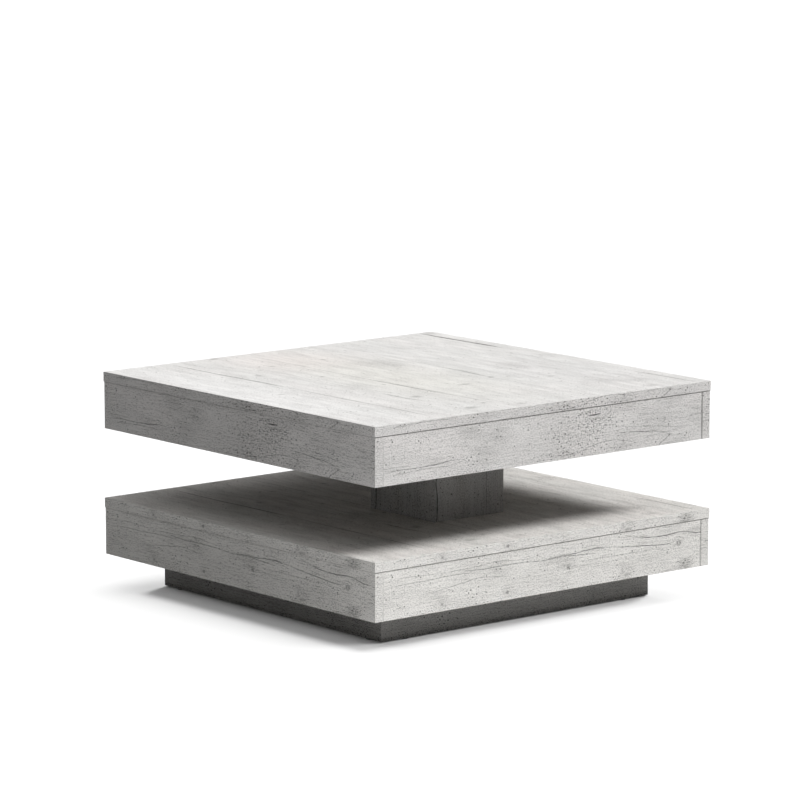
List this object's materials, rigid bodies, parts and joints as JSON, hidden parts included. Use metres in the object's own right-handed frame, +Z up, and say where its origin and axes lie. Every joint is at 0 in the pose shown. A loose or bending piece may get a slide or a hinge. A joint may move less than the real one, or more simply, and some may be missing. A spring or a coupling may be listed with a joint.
{
  "type": "swivel coffee table",
  "caption": "Square low coffee table: two shallow board boxes on a set-back plinth, the upper one turning on an off-centre column.",
  "frame": {"origin": "on the floor, under the middle of the two boxes, with the upper box square to the lower one", "axes": "+Z up, -Y the front, towards which the column stands off centre, +X the right side"},
  "size_m": [0.78, 0.78, 0.3965],
  "materials": {
    "decor_board": "printed melamine, whitewashed pine, satin",
    "inner_board": "printed melamine, whitewashed pine, satin",
    "beech": "plain beech",
    "zinc_casting": "die-cast zinc",
    "zinc_plated_steel": "bright zinc plating",
    "galvanised_sheet": "zinc-plated sheet",
    "bearing_steel": "polished",
    "glide_plastic": "matt polyethylene"
  },
  "bodies": {
    "base": {"shelf_board": "decor_board", "shelf_apron_left": "decor_board", "shelf_apron_right": "decor_board", "shelf_apron_front": "decor_board", "shelf_apron_back": "decor_board", "plinth_left": "decor_board", "plinth_right": "decor_board", "plinth_front": "decor_board", "plinth_back": "decor_board", "plinth_rail": "inner_board", "column_front": "decor_board", "column_back": "decor_board", "column_left": "decor_board", "column_right": "decor_board", "column_cap": "inner_board", "shelf_dowels": "beech", "plinth_dowels": "beech", "column_dowels": "beech", "shelf_cam_locks": "zinc_casting", "plinth_cam_locks": "zinc_casting", "column_cam_locks": "zinc_casting", "shelf_cam_bolts": "zinc_plated_steel", "plinth_cam_bolts": "zinc_plated_steel", "column_cam_bolts": "zinc_plated_steel", "bracket_screws": "zinc_plated_steel", "glide_nails": "zinc_plated_steel", "shelf_column_screws": "zinc_plated_steel", "cap_screws": "zinc_plated_steel", "lower_plate_screws": "zinc_plated_steel", "turntable_lower_plate": "galvanised_sheet", "plinth_brackets": "galvanised_sheet", "glides": "glide_plastic"},
    "top": {"top_board": "decor_board", "top_apron_left": "decor_board", "top_apron_right": "decor_board", "top_apron_front": "decor_board", "top_apron_back": "decor_board", "mounting_board": "inner_board", "top_cam_bolts": "zinc_plated_steel", "top_cam_locks": "zinc_casting", "top_dowels": "beech", "mounting_board_screws": "zinc_plated_steel", "turntable_upper_plate": "galvanised_sheet", "upper_plate_screws": "zinc_plated_steel"},
    "ball_cage": {"turntable_ball_cage": "galvanised_sheet", "turntable_balls": "bearing_steel"}
  },
  "joints": [
    {"name": "top_swivel", "type": "hinge", "parent": "base", "child": "top", "pos_m": [0, -0.09, 0.356], "axis": [0, 0, 1], "continuous": true},
    {"name": "ball_cage_turn", "type": "hinge", "parent": "base", "child": "ball_cage", "pos_m": [0, -0.09, 0.356], "axis": [0, 0, 1], "continuous": true}
  ],
  "couplings": [
    {"joint": "ball_cage_turn", "follows": "top_swivel", "ratio": 0.5}
  ]
}
